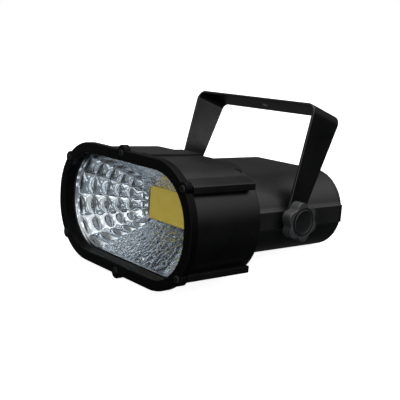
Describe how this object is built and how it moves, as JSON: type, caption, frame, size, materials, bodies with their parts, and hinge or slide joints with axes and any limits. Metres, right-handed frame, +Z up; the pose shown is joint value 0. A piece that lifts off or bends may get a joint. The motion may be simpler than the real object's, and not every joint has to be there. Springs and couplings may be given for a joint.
{
  "type": "stage spotlight",
  "caption": "Black LED stage spotlight with an obround faceted-reflector front, a clamp yoke on star knobs and a rear control panel.",
  "frame": {"origin": "centre of the bounding box's bottom, on the surface the light lies on", "axes": "-Y the way the light shines, level with the table; +Z up; X along the yoke's pivots. The head is tipped nose-up as it lies on a table."},
  "size_m": [0.2234, 0.2398, 0.1603],
  "materials": {
    "black_paint": "satin black powder coat, fine texture",
    "black_plastic": "satin black moulded plastic",
    "black_steel": "black oxide",
    "rubber": "matt black",
    "zinc": "zinc plated",
    "brass": "machined",
    "aluminium": "plain extrusion",
    "mirror": "faceted vacuum-metallised reflector",
    "clear_glass": "clear, tempered",
    "phosphor": "yellow phosphor silicone",
    "ceramic": "white ceramic and aluminium substrate",
    "board_green": "solder-masked circuit board",
    "ferrite": "wound ferrite core, taped",
    "capacitor_sleeve": "shrink sleeve",
    "display_lens": "smoked red window"
  },
  "bodies": {
    "head": {"bezel_screw_1": "black_steel", "bezel_screw_2": "black_steel", "bezel_screw_3": "black_steel", "bezel_screw_4": "black_steel", "bezel_screw_5": "black_steel", "bezel_screw_6": "black_steel", "carrier_screw_1": "zinc", "carrier_screw_2": "zinc", "carrier_screw_3": "zinc", "carrier_screw_4": "zinc", "control_board": "board_green", "cover_screw_1": "zinc", "cover_screw_2": "zinc", "cover_screw_3": "zinc", "cover_screw_4": "zinc", "data_in_socket": "black_plastic", "data_out_socket": "black_plastic", "display": "display_lens", "driver_board": "board_green", "driver_capacitor_1": "capacitor_sleeve", "driver_capacitor_2": "capacitor_sleeve", "driver_transformer": "ferrite", "front_bezel": "black_plastic", "front_glass": "clear_glass", "front_housing": "black_paint", "fuse_holder": "black_plastic", "heat_sink": "aluminium", "housing_screw_1": "zinc", "housing_screw_2": "zinc", "housing_screw_3": "zinc", "housing_screw_4": "zinc", "led_board": "ceramic", "led_carrier": "aluminium", "led_emitter": "phosphor", "left_friction_washer": "rubber", "left_insert": "brass", "lens_gasket": "rubber", "power_inlet": "black_plastic", "rear_cover": "black_paint", "rear_housing": "black_paint", "reflector": "mirror", "right_friction_washer": "rubber", "right_insert": "brass", "safety_eye": "zinc"},
    "yoke": {"yoke": "black_paint"},
    "right_knob": {"right_knob": "black_plastic", "right_knob_cap": "black_plastic", "right_bolt": "zinc", "right_washer": "zinc"},
    "left_knob": {"left_knob": "black_plastic", "left_knob_cap": "black_plastic", "left_bolt": "zinc", "left_washer": "zinc"},
    "menu_button_1": {"menu_button_1": "black_plastic"},
    "menu_button_2": {"menu_button_2": "black_plastic"},
    "menu_button_3": {"menu_button_3": "black_plastic"},
    "menu_button_4": {"menu_button_4": "black_plastic"}
  },
  "joints": [
    {"name": "yoke_tilt", "type": "hinge", "parent": "head", "child": "yoke", "pos_m": [0, 0.03234, 0.04916], "axis": [1, 0, 0], "range_deg": [-195, 55]},
    {"name": "right_knob_turn", "type": "hinge", "parent": "head", "child": "right_knob", "pos_m": [0.09, 0.03234, 0.04916], "axis": [1, 0, 0], "range_deg": [-180, 180]},
    {"name": "left_knob_turn", "type": "hinge", "parent": "head", "child": "left_knob", "pos_m": [-0.09, 0.03234, 0.04916], "axis": [-1, 0, 0], "range_deg": [-180, 180]},
    {"name": "menu_button_1_press", "type": "slide", "parent": "head", "child": "menu_button_1", "axis": [0, -0.9939, 0.1101], "range_m": [0, 0.0012], "stiffness_N_per_m": 600, "springref_m": -0.0015},
    {"name": "menu_button_2_press", "type": "slide", "parent": "head", "child": "menu_button_2", "axis": [0, -0.9939, 0.1101], "range_m": [0, 0.0012], "stiffness_N_per_m": 600, "springref_m": -0.0015},
    {"name": "menu_button_3_press", "type": "slide", "parent": "head", "child": "menu_button_3", "axis": [0, -0.9939, 0.1101], "range_m": [0, 0.0012], "stiffness_N_per_m": 600, "springref_m": -0.0015},
    {"name": "menu_button_4_press", "type": "slide", "parent": "head", "child": "menu_button_4", "axis": [0, -0.9939, 0.1101], "range_m": [0, 0.0012], "stiffness_N_per_m": 600, "springref_m": -0.0015}
  ]
}
